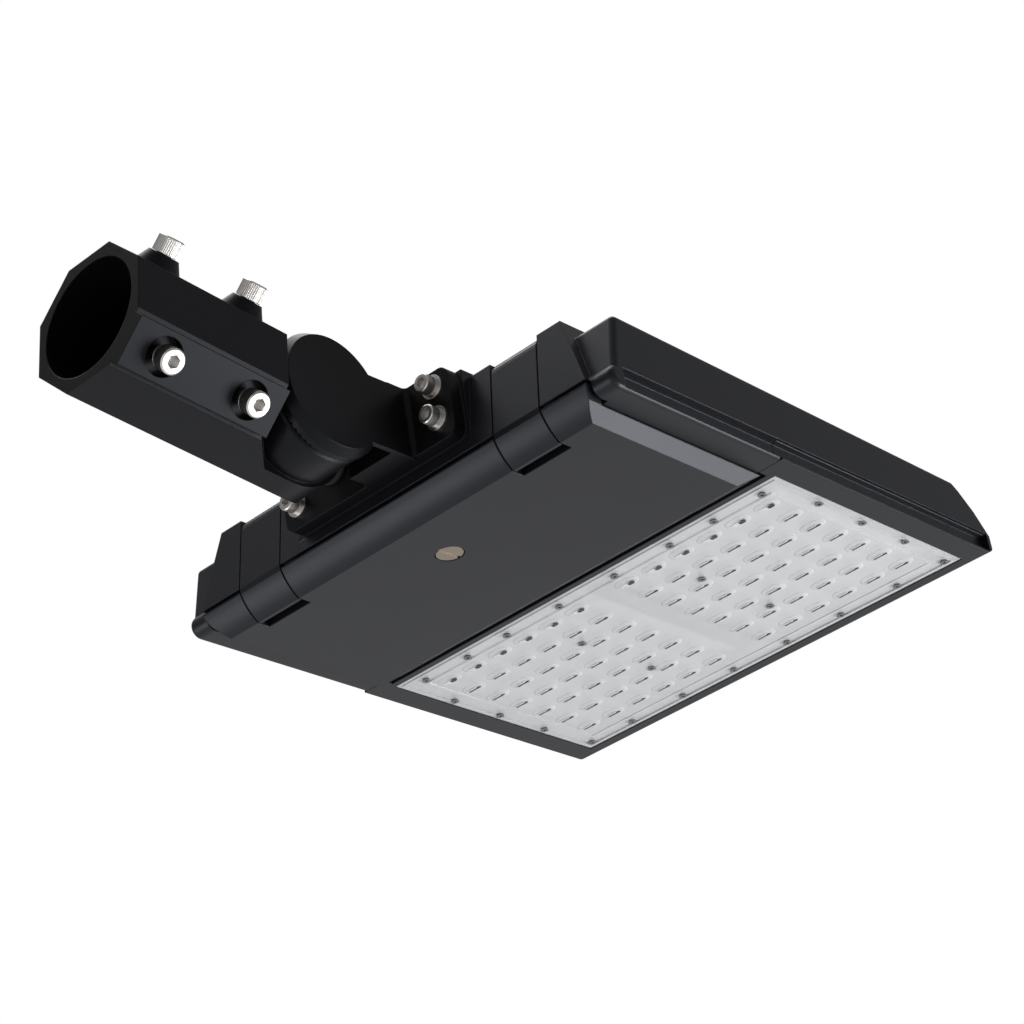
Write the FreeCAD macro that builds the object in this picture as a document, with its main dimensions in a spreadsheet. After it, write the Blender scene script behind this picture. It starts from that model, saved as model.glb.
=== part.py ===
import FreeCAD, Part
import math
import os
import re

import Sketcher
from FreeCAD import Placement, Rotation, Vector

# Shoebox area light on a tilting slip fitter. Millimetres and degrees.
#
# The arm frame is the part's own frame: its origin is the centre of the slip fitter's mouth,
# +X runs along the bore towards the head, +Z is up. The head frame has its origin on the
# knuckle's pivot and is turned up by the tilt angle; every piece of the head is drawn in it.

doc = FreeCAD.newDocument("AreaLight")
sheet = doc.addObject("Spreadsheet::Sheet", "dims")

drivingDims = [
    # slip fitter and knuckle
    ("tenonBore", 62.0, "bore for a 60 mm pole tenon"),
    ("boreDepth", 86.0, "depth of the bore"),
    ("armFlats", 72.0, "octagon across its flats"),
    ("pivotReach", 127.5, "mouth of the bore to the pivot"),
    ("padWide", 25.2, "width of the clamping pads"),
    ("padHigh", 6.0, "height of the clamping pads over the flats"),
    ("screwNear", 20.8, "first clamping screw from the mouth"),
    ("screwFar", 73.0, "second clamping screw from the mouth"),
    ("discRadius", 34.0, "knuckle disc"),
    ("discFace", 32.0, "outer face of the disc from the middle plane"),
    ("discThick", 8.5, "thickness of the disc"),
    ("discBevel", 3.0, "radial bevel of the disc's outer edge"),
    ("hubRadius", 33.5, "hub on the arm"),
    ("pocketRadius", 9.8, "round pockets for the clamping screws in their pads"),
    ("hubFace", 22.9, "toothed face of the hub from the middle plane"),
    ("cheekFace", 2.0, "inner face of the arm's cheek"),
    ("cheekRadius", 36.0, "rounded end of the cheek"),
    ("boltRadius", 6.0, "pivot bolt"),
    ("toothCount", 60.0, "teeth round the knuckle, one per six degrees"),
    ("tilt", 6.0, "head turned up against the arm, one tooth"),
    # flange on the back of the head, from the pivot
    ("neckBack", 38.0, "rear face of the neck"),
    ("flangeBack", 51.0, "rear face of the flange plate"),
    ("flangeThick", 7.5, "flange plate"),
    ("flangeHalf", 61.0, "half width of the plate"),
    ("flangeTop", 18.7, "top of the plate"),
    ("flangeLow", -21.0, "bottom of the plate"),
    ("boltHalf", 50.8, "flange screws, half spacing across"),
    ("boltLow", -8.4, "lower flange screws"),
    ("boltPitch", 18.0, "flange screws, spacing up"),
    ("gasketThick", 2.0, "flange gasket"),
    # head, from the pivot
    ("headHalf", 152.0, "half width of the head"),
    ("ledgeZ", -36.8, "ledge round the lens and the door"),
    ("partingZ", -24.8, "lower edge of the side walls"),
    ("doorZ", -45.2, "underside of the door"),
    ("sealZ", -28.3, "seam between the driver box and the door's rear edge"),
    ("sealGap", 2.2, "height of that seam"),
    ("roofZ", 15.0, "top of the driver box"),
    ("railRearZ", 6.2, "top of the side rails at the rear"),
    ("railFrontZ", 1.7, "top of the side rails at the front"),
    ("rearX", 59.0, "rear face of the driver box, at the door seam"),
    ("roofRearX", 66.0, "rear face of the driver box, at the roof"),
    ("wingX", 65.3, "rear face of the side rails, at the parting line"),
    ("wingTopX", 71.5, "rear face of the side rails, at the top"),
    ("roofFrontX", 181.0, "front edge of the roof"),
    ("seamX", 191.5, "seam between driver box and LED tray"),
    ("noseTopX", 354.5, "where the nose starts to slope"),
    ("tipX", 382.5, "foremost point"),
    ("noseLowX", 374.5, "front edge of the ledge"),
    ("boxHalfLow", 138.0, "half width of the driver box at the seam"),
    ("boxHalfTop", 124.0, "half width of the driver box at the roof"),
    ("wall", 3.0, "cast wall"),
    ("cornerRound", 3.0, "rounding of the head's outer edges"),
    # door and latches
    ("doorHalf", 129.5, "half width of the door's flat underside"),
    ("doorSide", 135.5, "half width of the door at the ledge"),
    ("doorRearX", 70.0, "rear edge of the flat underside"),
    ("doorFrontX", 180.5, "front edge of the flat underside"),
    ("doorTopZ", -37.3, "rim of the door"),
    ("hingeX", 194.8, "door hinge axis"),
    ("hingeZ", -35.3, "door hinge axis"),
    ("hingeRound", 1.7, "radius of the hinge's barrels and lugs"),
    ("hingePin", 1.0, "radius of the hinge's pins"),
    ("latchMid", 92.4, "middle of each latch from the middle plane"),
    ("latchWide", 30.4, "width of a latch"),
    ("latchGap", 0.8, "gap on each side of a latch"),
    ("latchThick", 3.0, "thickness of a latch"),
    ("latchX", 69.0, "latch pivot"),
    ("latchZ", 9.2, "latch pivot"),
    ("studX", 104.0, "slotted fastener of the door"),
    # lens and LED boards
    ("lensRearX", 203.0, "rear edge of the lens"),
    ("lensFrontX", 368.5, "front edge of the lens"),
    ("lensHalf", 138.0, "half width of the lens"),
    ("lensLowZ", -36.3, "underside of the lens plate"),
    ("lensThick", 2.5, "lens plate"),
    ("trayFloorZ", -29.5, "floor of the LED tray"),
    ("rowFirstX", 223.7, "first row of LEDs"),
    ("rowPitch", 19.75, "rows of LEDs"),
    ("columnFirst", 18.3, "innermost column of LEDs"),
    ("columnPitch", 19.5, "columns of LEDs"),
]

for row, (alias, size, note) in enumerate(drivingDims, start=1):
    sheet.set(f"A{row}", note)
    sheet.set(f"B{row}", repr(size))
    sheet.setAlias(f"B{row}", alias)
doc.recompute()

aliases = {alias for alias, size, note in drivingDims}
nodes = {}
rowCount = 7
columnCount = 6


# ---------------------------------------------------------------- helpers

def bound(text):
    # a size text with each alias turned into a reference to its cell
    return re.sub(r"[A-Za-z]\w*", lambda w: "dims." + w.group(0) if w.group(0) in aliases else w.group(0),
                  str(text))


def value(text):
    return float(sheet.evalExpression(bound(text)))


def bind(thing, prop, text):
    thing.setExpression(prop, bound(text))


def newBody(label):
    body = doc.addObject("PartDesign::Body", label)
    body.Label = label
    nodes[label] = body
    return body


def newSketch(body, plane, offset, at=("0", "0")):
    # a sketch on one of the body's own planes, moved along the plane's normal by offset
    sketch = body.newObject("Sketcher::SketchObject", body.Label + "_sketch")
    origin = [f for f in body.Origin.OriginFeatures if f.Role == plane + "_Plane"][0]
    sketch.AttachmentSupport = (origin, [""])
    sketch.MapMode = "FlatFace"
    bind(sketch, "AttachmentOffset.Base.x", at[0])
    bind(sketch, "AttachmentOffset.Base.y", at[1])
    bind(sketch, "AttachmentOffset.Base.z", offset)
    return sketch


def addOutline(sketch, corners):
    # closed outline; a corner with a third item starts an arc that passes through that point
    first = len(sketch.Geometry)
    count = len(corners)
    flat = [Vector(value(c[0]), value(c[1]), 0) for c in corners]
    ends = []
    for i, corner in enumerate(corners):
        here = flat[i]
        there = flat[(i + 1) % count]
        if len(corner) > 2:
            middle = Vector(value(corner[2][0]), value(corner[2][1]), 0)
            piece = Part.Arc(here, middle, there)
            sketch.addGeometry(piece, False)
            starts = sketch.getPoint(first + i, 1).distanceToPoint(here) < 1e-6
        else:
            sketch.addGeometry(Part.LineSegment(here, there), False)
            starts = True
        ends.append((1, 2) if starts else (2, 1))
    for i in range(count):
        after = (i + 1) % count
        sketch.addConstraint(Sketcher.Constraint("Coincident", first + i, ends[i][1],
                                                 first + after, ends[after][0]))
    for i, corner in enumerate(corners):
        for kind, size, text in (("DistanceX", flat[i].x, corner[0]), ("DistanceY", flat[i].y, corner[1])):
            index = sketch.addConstraint(Sketcher.Constraint(kind, first + i, ends[i][0], size))
            bind(sketch, f"Constraints[{index}]", text)


def addCircles(sketch, circles):
    for across, up, radius in circles:
        spot = Vector(value(across), value(up), 0)
        geo = sketch.addGeometry(Part.Circle(spot, Vector(0, 0, 1), value(radius)), False)
        for kind, size, text in (("DistanceX", spot.x, across), ("DistanceY", spot.y, up)):
            index = sketch.addConstraint(Sketcher.Constraint(kind, geo, 3, size))
            bind(sketch, f"Constraints[{index}]", text)
        index = sketch.addConstraint(Sketcher.Constraint("Radius", geo, value(radius)))
        bind(sketch, f"Constraints[{index}]", radius)


def prism(body, plane, low, high, outlines=(), circles=(), cut=False):
    # a straight prism between two levels of the axis across the plane, added or cut away
    start = f"-({high})" if plane == "XZ" else low
    sketch = newSketch(body, plane, start)
    for outline in outlines:
        addOutline(sketch, outline)
    addCircles(sketch, circles)
    before = body.Shape.Volume if body.Tip else 0.0
    feature = body.newObject("PartDesign::Pocket" if cut else "PartDesign::Pad", body.Label + "_step")
    feature.Profile = sketch
    feature.Reversed = cut
    bind(feature, "Length", f"({high}) - ({low})")
    doc.recompute()
    change = body.Shape.Volume - before
    if (change > -1e-3) if cut else (change < 1e-3):
        raise RuntimeError(f"{body.Label}: a step changed the volume by {change:.3f}")
    return feature


def rectangle(x0, x1, y0, y1):
    return [(x0, y0), (x1, y0), (x1, y1), (x0, y1)]


def mirrored(outline):
    # the same outline on the other side of the first axis of the sketch, in the same turning sense
    turned = []
    for corner in reversed(outline):
        turned.append((f"-({corner[0]})", corner[1]))
    return turned


def mirroredUp(outline):
    return [(corner[0], f"-({corner[1]})") for corner in reversed(outline)]


def bothSides(body, plane, low, high, cut, outlines=(), circles=()):
    # the same prism between low and high and between -high and -low along Y
    prism(body, plane, low, high, outlines, circles, cut)
    prism(body, plane, f"-({high})", f"-({low})", outlines, circles, cut)


def roundEdges(body, radius, test):
    # fillet the edges of the tip whose middle point passes the test
    names = []
    for index, edge in enumerate(body.Shape.Edges, start=1):
        if test(edge, edge.valueAt((edge.FirstParameter + edge.LastParameter) / 2)):
            names.append(f"Edge{index}")
    if not names:
        raise RuntimeError(f"{body.Label}: no edge to round")
    fillet = body.newObject("PartDesign::Fillet", body.Label + "_round")
    fillet.Base = (body.Tip if body.Tip is not fillet else fillet.BaseFeature, names)
    bind(fillet, "Radius", radius)
    doc.recompute()
    return fillet


def group(label, solids):
    # identical pieces share one node as separate solids
    feature = doc.addObject("Part::Feature", label)
    feature.Label = label
    feature.Shape = Part.makeCompound(solids)
    nodes[label] = feature
    return feature


def primitive(kind, sizes, at=("0", "0", "0"), turn=None):
    thing = doc.addObject("Part::" + kind, kind)
    for prop, text in sizes.items():
        bind(thing, prop, text)
    if turn:
        thing.Placement.Rotation = turn
    for axis, text in zip("xyz", at):
        bind(thing, "Placement.Base." + axis, text)
    return thing


def cylinder(radius, length, at, turn=None):
    return primitive("Cylinder", {"Radius": radius, "Height": length}, at, turn)


def named(label, base, tools=()):
    # the base less its tools, as one node
    if tools:
        joined = doc.addObject("Part::Cut", label)
        joined.Base = base
        if len(tools) > 1:
            fused = doc.addObject("Part::MultiFuse", label + "_cuts")
            fused.Shapes = list(tools)
            joined.Tool = fused
        else:
            joined.Tool = tools[0]
    else:
        joined = doc.addObject("Part::Compound", label)
        joined.Links = [base]
    joined.Label = label
    nodes[label] = joined
    return joined


alongX = Rotation(Vector(0, 1, 0), 90)
alongY = Rotation(Vector(1, 0, 0), -90)
towardsMinusY = Rotation(Vector(1, 0, 0), 90)


def hexPrism(acrossFlats, length):
    # hexagonal prism standing on the origin along +Z
    radius = acrossFlats / math.sqrt(3)
    corners = [Vector(radius * math.cos(math.radians(60 * i)), radius * math.sin(math.radians(60 * i)), 0)
               for i in range(7)]
    return Part.Face(Part.makePolygon(corners)).extrude(Vector(0, 0, length))


def socketScrew(shank, length, head, headHigh, socket):
    # cap screw along +Z: the shank ends at z = 0 and the head stands on z = length
    screw = Part.makeCylinder(shank, length)
    cap = Part.makeCylinder(head, headHigh, Vector(0, 0, length))
    cap = cap.makeChamfer(head * 0.08, [e for e in cap.Edges if e.BoundBox.ZMin > length + headHigh - 0.01])
    recess = hexPrism(socket, headHigh)
    recess.translate(Vector(0, 0, length + headHigh * 0.4))
    return screw.fuse(cap).cut(recess).removeSplitter()


def placed(shape, at, turn=None):
    copy = shape.copy()
    copy.Placement = Placement(Vector(*at), turn or Rotation())
    return copy


# ---------------------------------------------------------------- arm

flat = "armFlats / 2"
corner = "armFlats * 0.207107"
padTurn = 135.0
bossTurn = 45.0
screwRows = [(turn, along) for turn in (padTurn, bossTurn) for along in ("screwNear", "screwFar")]


def radialPlace(turn, along, across, out):
    # a place on a flat: along the bore, across the flat, and out from the bore axis
    spin = Placement(Vector(0, 0, 0), Rotation(Vector(1, 0, 0), turn))
    return spin * Placement(Vector(along, across, out), Rotation())


def toothRing(body, face, groove, place):
    # radial grooves round the pivot, cut into a face across Y
    sketch = newSketch(body, "YZ", f"{place} + 19")
    addOutline(sketch, groove)
    notch = body.newObject("PartDesign::Pocket", body.Label + "_tooth")
    notch.Profile = sketch
    notch.Reversed = True
    bind(notch, "Length", "discRadius - 18")
    axisSketch = newSketch(body, "XZ", face, (place, "0"))
    addCircles(axisSketch, [("0", "0", "1")])
    pattern = body.newObject("PartDesign::PolarPattern", body.Label + "_teeth")
    pattern.Originals = [notch]
    pattern.Axis = (axisSketch, ["N_Axis"])
    pattern.Angle = 360
    bind(pattern, "Occurrences", "toothCount")
    body.Tip = pattern
    doc.recompute()


def radialTool(body, kind, sizes, turn, along, across, out):
    # a primitive of the body standing on one of the flats
    tool = body.newObject("PartDesign::" + kind, body.Label + "_" + kind)
    for prop, text in sizes.items():
        bind(tool, prop, text)
    tool.Placement = radialPlace(turn, value(along), value(across), value(out))
    doc.recompute()


def buildSlipFitter():
    body = newBody("slip_fitter")
    octagon = [(flat, corner), (corner, flat), ("-" + corner, flat), ("-" + flat, corner),
               ("-" + flat, "-" + corner), ("-" + corner, "-" + flat), (corner, "-" + flat), (flat, "-" + corner)]
    prism(body, "YZ", "0", "pivotReach + cheekRadius + 1", [octagon])
    far = "pivotReach + armFlats"
    # rounded end about the pivot, then the right half cut away for the disc
    prism(body, "XZ", "-armFlats", "armFlats", [[
        ("pivotReach", "cheekRadius", ("pivotReach + cheekRadius", "0")), ("pivotReach", "-cheekRadius"),
        ("pivotReach", "-armFlats"), (far, "-armFlats"), (far, "armFlats"), ("pivotReach", "armFlats")]], cut=True)
    armEnd = "pivotReach - discRadius - 1"
    prism(body, "XY", "-armFlats", "armFlats", [[
        (armEnd, "-armFlats"), (far, "-armFlats"), (far, "cheekFace"), (f"{armEnd} + 18", "cheekFace"),
        (armEnd, "-16")]], cut=True)
    # hub with a bevelled edge, and the web that ties it to the tube
    bevel = "2.4"
    prism(body, "XZ", f"{bevel} - hubFace", "cheekFace + 1", circles=[("pivotReach", "0", "hubRadius")])
    cone = body.newObject("PartDesign::AdditiveCone", "hub_bevel")
    bind(cone, "Radius1", "hubRadius")
    bind(cone, "Radius2", f"hubRadius - {bevel}")
    bind(cone, "Height", bevel)
    cone.Placement = Placement(Vector(value("pivotReach"), value(f"{bevel} - hubFace"), 0), towardsMinusY)
    doc.recompute()
    prism(body, "XY", "-14", "14", [rectangle(f"{armEnd} - 2", "pivotReach - 12", "1 - hubFace", "cheekFace + 1")])
    # clamping pad along one flat with a round pocket at each screw, round bosses on the next row
    rise = {"Height": "padHigh + 1"}
    radialTool(body, "AdditiveBox", {"Length": "screwFar + 18", "Width": "padWide", **rise},
               padTurn, "0", "-padWide / 2", f"{flat} - 1")
    for turn, along in screwRows:
        if turn == padTurn:
            radialTool(body, "SubtractiveCylinder", {"Radius": "pocketRadius", **rise}, turn, along, "0", flat)
        else:
            radialTool(body, "AdditiveCone", {"Radius1": "pocketRadius + 2", "Radius2": "pocketRadius - 2", **rise},
                       turn, along, "0", f"{flat} - 1")
    prism(body, "YZ", "-1", "boreDepth", circles=[("0", "0", "tenonBore / 2")], cut=True)
    for turn, along in screwRows:
        radialTool(body, "SubtractiveCylinder", {"Radius": "4.1", "Height": "30"}, turn, along, "0", "22")
    # bolt hole, bolt seat, spigot recess and wire way
    prism(body, "XZ", "-armFlats", "armFlats", circles=[("pivotReach", "0", "boltRadius + 0.5")], cut=True)
    prism(body, "XZ", "22", "armFlats", circles=[("pivotReach", "0", "12.5")], cut=True)
    prism(body, "XZ", "-armFlats", "-11.5", circles=[("pivotReach", "0", "14.3")], cut=True)
    prism(body, "YZ", "boreDepth - 1", far, circles=[("14", "21", "6")], cut=True)
    toothRing(body, "hubFace", [("-hubFace - 0.2", "-1.1"), ("-hubFace - 0.2", "1.1"), ("1 - hubFace", "0")],
              "pivotReach")


def buildTenonScrews():
    pattern = socketScrew(4.0, 11.4, 6.5, 8.0, 6.0)
    solids = []
    for turn, along in screwRows:
        copy = pattern.copy()
        copy.Placement = radialPlace(turn, value(along), 0, value("tenonBore / 2") + 0.6)
        solids.append(copy)
    group("tenon_screws", solids)


def buildPivotBolt():
    # socket head in the cheek's counterbore, shank through the hub into the bracket's spigot
    reach = 24.5 + 27.0
    bolt = socketScrew(value("boltRadius"), reach, 9.0, 12.0, 10.0)
    group("pivot_bolt", [placed(bolt, (value("pivotReach"), 24.5 - reach, 0), alongY)])
    ring = cylinder("12", "2.3", ("pivotReach", "22.1", "0"), alongY)
    named("pivot_washer", ring, [cylinder("boltRadius + 0.3", "4", ("pivotReach", "21", "0"), alongY)])


# ---------------------------------------------------------------- bracket and flange

def flangeOutline(inset, top):
    # plate with round corners; each round corner runs through its own middle point
    half = f"(flangeHalf - {inset})"
    low = f"(flangeLow + {inset})"
    cut = "6 * 0.292893"
    return [(half, f"{low} + 6"), (half, f"{top} - 6", (f"{half} - {cut}", f"{top} - {cut}")),
            (f"{half} - 6", top), (f"6 - {half}", top, (f"{cut} - {half}", f"{top} - {cut}")),
            (f"-{half}", f"{top} - 6"), (f"-{half}", f"{low} + 6", (f"{cut} - {half}", f"{low} + {cut}")),
            (f"6 - {half}", low), (f"{half} - 6", low, (f"{half} - {cut}", f"{low} + {cut}"))]


def flangeHoles(radius):
    return [(side + "boltHalf", up, radius) for side in ("", "-") for up in ("boltLow", "boltLow + boltPitch")]


wireHole = ("24", "2")


def buildKnuckleBracket():
    body = newBody("knuckle_bracket")
    inner = "discThick - discFace"
    prism(body, "XZ", "5 - discFace", inner, circles=[("0", "0", "discRadius")])
    cone = body.newObject("PartDesign::AdditiveCone", "disc_bevel")
    bind(cone, "Radius1", "discRadius")
    bind(cone, "Radius2", "discRadius - discBevel")
    bind(cone, "Height", "5")
    cone.Placement = Placement(Vector(0, value("5 - discFace"), 0), towardsMinusY)
    doc.recompute()
    prism(body, "XZ", f"{inner} - 1", "-12", circles=[("0", "0", "14")])
    # neck across the back of the plate, web out to the disc and the web's thinner lower lip
    for low, high, start, side in (("flangeLow - 0.3", "flangeTop - 0.2", "neckBack", "1.2"),
                                   ("flangeLow + 5", "flangeTop - 0.5", "14", inner),
                                   ("flangeLow - 1", "flangeLow + 6", "14", "2.6 - discFace")):
        prism(body, "XY", low, high, [rectangle(start, "flangeBack + 1", "-discFace", side)])
    prism(body, "YZ", "flangeBack", "flangeBack + flangeThick", [flangeOutline("0", "flangeTop")])
    roundEdges(body, "3", lambda edge, mid: abs(mid.x - value("flangeBack")) < 0.01 and abs(mid.y) < 34
               and edge.Length > 20 and abs(mid.z) < 17)
    prism(body, "YZ", "flangeBack - 1", "flangeBack + flangeThick + 1",
          circles=flangeHoles("3.3") + [wireHole + ("8",)], cut=True)
    prism(body, "XZ", "-28", "0", circles=[("0", "0", "boltRadius + 0.05")], cut=True)
    toothRing(body, "discFace - discThick",
              [("discThick - discFace + 0.2", "-1.1"), ("discThick - discFace + 0.2", "1.1"),
               ("discThick - discFace - 1", "0")], "0")


def buildFlangeParts():
    gasket = newBody("flange_gasket")
    back = "flangeBack + flangeThick"
    prism(gasket, "YZ", back, f"{back} + gasketThick", [flangeOutline("0.5", "flangeTop - 1")])
    prism(gasket, "YZ", f"{back} - 1", f"{back} + gasketThick + 1",
          circles=flangeHoles("3.3") + [wireHole + ("8.6",)], cut=True)
    screw = socketScrew(3.0, 24.0, 5.0, 6.0, 5.0)
    washer = Part.makeCylinder(6.5, 1.6).cut(Part.makeCylinder(3.2, 1.6))
    spring = Part.makeCylinder(5.1, 1.6, Vector(0, 0, 1.6)).cut(Part.makeCylinder(3.2, 1.6, Vector(0, 0, 1.6)))
    towardsPole = Rotation(Vector(0, 1, 0), -90)
    seat = value("flangeBack")
    screws = []
    washers = []
    springs = []
    for side in (-1, 1):
        for up in (value("boltLow"), value("boltLow + boltPitch")):
            across = side * value("boltHalf")
            screws.append(placed(screw, (seat - 3.2 + 24.0, across, up), towardsPole))
            washers.append(placed(washer, (seat, across, up), towardsPole))
            springs.append(placed(spring, (seat, across, up), towardsPole))
    group("flange_screws", screws)
    group("flange_washers", washers)
    group("flange_spring_washers", springs)
    # rubber bush round the supply cable's way through plate, gasket and casting
    bush = primitive("Cylinder", {"Radius": "7.8", "Height": "24"}, ("flangeBack - 1",) + wireHole, alongX)
    lip = primitive("Cylinder", {"Radius": "10.5", "Height": "1.2"}, ("flangeBack - 1.2",) + wireHole, alongX)
    fused = doc.addObject("Part::Fuse", "bush_and_lip")
    fused.Base = bush
    fused.Tool = lip
    named("cable_grommet", fused, [primitive("Cylinder", {"Radius": "4.5", "Height": "40"},
                                             ("flangeBack - 5",) + wireHole, alongX)])


# ---------------------------------------------------------------- driver housing

def sideGroove(inset):
    # cove in the side wall between the parting line and the ledge, as an outline across Y and Z
    return [("headHalf + 1", "partingZ"), ("headHalf", "partingZ"), (f"headHalf - {inset}", "partingZ - 1.4"),
            (f"headHalf - {inset}", "partingZ - 6.6"), ("headHalf - 0.6", "ledgeZ + 1.2"),
            ("headHalf + 1", "ledgeZ + 1.2")]


def isRailEdge(edge, mid):
    # the outer edges of the rails, all but the lower ones, and the top edge at their rear
    if abs(mid.y) > value("headHalf") - 0.1:
        return mid.x < value("wingTopX") - 0.1 or mid.z > value("partingZ") + 0.1 and mid.x > value("wingTopX") + 1
    return abs(mid.x - value("wingTopX")) < 0.1


def buildHousing():
    body = newBody("driver_housing")
    # rails along both sides and the nose, with a rounded lower rear edge
    prism(body, "XZ", "-headHalf", "headHalf", [[
        ("wingX + 3.7", "ledgeZ"), ("seamX", "ledgeZ"), ("seamX", "partingZ"), ("tipX", "partingZ"),
        ("tipX - 11", "railFrontZ - 13.5"), ("noseTopX + 5.5", "railFrontZ - 3.5"), ("noseTopX", "railFrontZ"),
        ("wingTopX", "railRearZ"), ("wingX", "partingZ", ("wingX - 3.1", "partingZ - 5.7"))]])
    roundEdges(body, "cornerRound", isRailEdge)
    # raised driver box with sloping sides
    lowSketch = newSketch(body, "XY", "sealZ")
    addOutline(lowSketch, rectangle("rearX", "seamX - 1", "-boxHalfLow", "boxHalfLow"))
    topSketch = newSketch(body, "XY", "roofZ")
    addOutline(topSketch, rectangle("roofRearX", "roofFrontX", "-boxHalfTop", "boxHalfTop"))
    loft = body.newObject("PartDesign::AdditiveLoft", "driver_box")
    loft.Profile = lowSketch
    loft.Sections = [topSketch]
    loft.Ruled = True
    doc.recompute()
    # vertical seat for the flange
    prism(body, "YZ", "flangeBack + flangeThick + gasketThick", "roofRearX + 4",
          [[("-flangeHalf - 1", "flangeLow - 0.5"), ("flangeHalf + 1", "flangeLow - 0.5"),
            ("flangeHalf + 1", "roofZ - 0.4"), ("-flangeHalf - 1", "roofZ - 0.4")]])
    prism(body, "YZ", "rearX - 2", "flangeBack + flangeThick + gasketThick",
          [rectangle("-flangeHalf - 1", "flangeHalf + 1", "flangeLow - 0.5", "flangeTop")], cut=True)
    # room for the door's rear edge below the seam
    prism(body, "XY", "doorZ - 5", "sealZ", [rectangle("rearX - 9", "doorRearX + 2.6", "-boxHalfLow - 0.6",
                                                      "boxHalfLow + 0.6")], cut=True)
    # hollow inside: across the rails, up into the driver box, and the opening under the door
    cavityX = ("doorRearX + 5", "seamX - 3.5")
    prism(body, "XZ", "-headHalf + 9", "headHalf - 9", [[
        (cavityX[0], "ledgeZ + wall"), (cavityX[1], "ledgeZ + wall"), (cavityX[1], "railRearZ - wall - 2"),
        (cavityX[0], "railRearZ - wall")]], cut=True)
    prism(body, "XY", "0", "roofZ - wall", [rectangle(cavityX[0], "roofFrontX - wall", "4 - boxHalfTop",
                                                      "boxHalfTop - 4")], cut=True)
    prism(body, "XY", "doorZ", "ledgeZ + wall + 1", [rectangle("doorRearX + 6", "seamX - 5.5", "-131", "131")],
          cut=True)
    # well for the fins, hollow rails and nose
    prism(body, "XY", "partingZ - 5", "roofZ + 5", [rectangle("seamX + 7.4", "noseTopX - 2.5", "-132", "132")],
          cut=True)
    railHollow = rectangle("seamX + 8", "noseTopX - 2", "135", "headHalf - 3.5")
    prism(body, "XY", "partingZ - 1", "railFrontZ - wall", [railHollow, mirroredUp(railHollow)], cut=True)
    prism(body, "XY", "partingZ - 1", "partingZ + 7", [
        rectangle("noseTopX + 1", "tipX - 12", "-headHalf + 12", "headHalf - 12")], cut=True)
    groove = sideGroove("4.5")
    prism(body, "YZ", "wingX + 6", "seamX + 1", [groove, mirrored(groove)], cut=True)
    # screw bosses behind the flange, socket for the door stud, lugs of the door hinge
    prism(body, "YZ", "roofRearX + 2", "doorRearX + 10", circles=flangeHoles("6.4"))
    prism(body, "XZ", "-flangeHalf - 1", "flangeHalf + 1", [[
        ("flangeBack + flangeThick + gasketThick", "roofZ - 1"), ("doorRearX + 14", "roofZ - 1"),
        ("doorRearX + 10", "flangeTop - 0.6"), ("flangeBack + flangeThick + gasketThick", "flangeTop - 0.6")]])
    prism(body, "XY", "-30", "roofZ - 1", circles=[("studX", "0", "8")])
    for low, high in (("93", "98.9"), ("121.1", "127")):
        lug = [("seamX - 1.5", "hingeZ - hingeRound"), ("hingeX", "hingeZ - hingeRound", ("hingeX + hingeRound",
               "hingeZ")), ("hingeX", "hingeZ + hingeRound"), ("seamX - 1.5", "hingeZ + hingeRound")]
        bothSides(body, "XZ", low, high, False, [lug])
    prism(body, "YZ", "rearX - 2", "doorRearX + 8", circles=flangeHoles("3.1"), cut=True)
    prism(body, "YZ", "rearX - 2", "doorRearX + 6", circles=[wireHole + ("8",)], cut=True)
    prism(body, "XY", "-31", "-18", circles=[("studX", "0", "4.5")], cut=True)
    bothSides(body, "XZ", "92", "128", True, circles=[("hingeX", "hingeZ", "hingePin")])
    # latch channels down the rear face, with room for the barrel and holes for the pin
    low = "latchMid - latchWide / 2 - latchGap"
    high = "latchMid + latchWide / 2 + latchGap"
    lean = "(roofRearX - rearX)"
    channel = [("rearX - 9", "sealZ - 1"), ("rearX + 3.7", "sealZ - 1"), ("rearX + 3.7", "sealZ"),
               (f"rearX + 3.7 + {lean}", "roofZ"), (f"rearX + 3.7 + {lean}", "roofZ + 2"), ("rearX - 9", "roofZ + 2")]
    bothSides(body, "XZ", low, high, True, [channel])
    bothSides(body, "XZ", low, high, True, circles=[("latchX", "latchZ", "4.2")])
    bothSides(body, "XZ", "latchMid - latchWide / 2 - 6", "latchMid + latchWide / 2 + 6", True,
              circles=[("latchX", "latchZ", "1.5")])
    # lead ways through the wall to the LED tray
    prism(body, "YZ", "seamX - 6", "seamX + 8", circles=leadHoles("1.4"), cut=True)


leadRows = ("-72", "-66", "66", "72")
leadZ = "ledgeZ + 5.2"


def leadHoles(radius):
    return [(across, leadZ, radius) for across in leadRows]


# ---------------------------------------------------------------- LED tray, boards and lens

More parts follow.
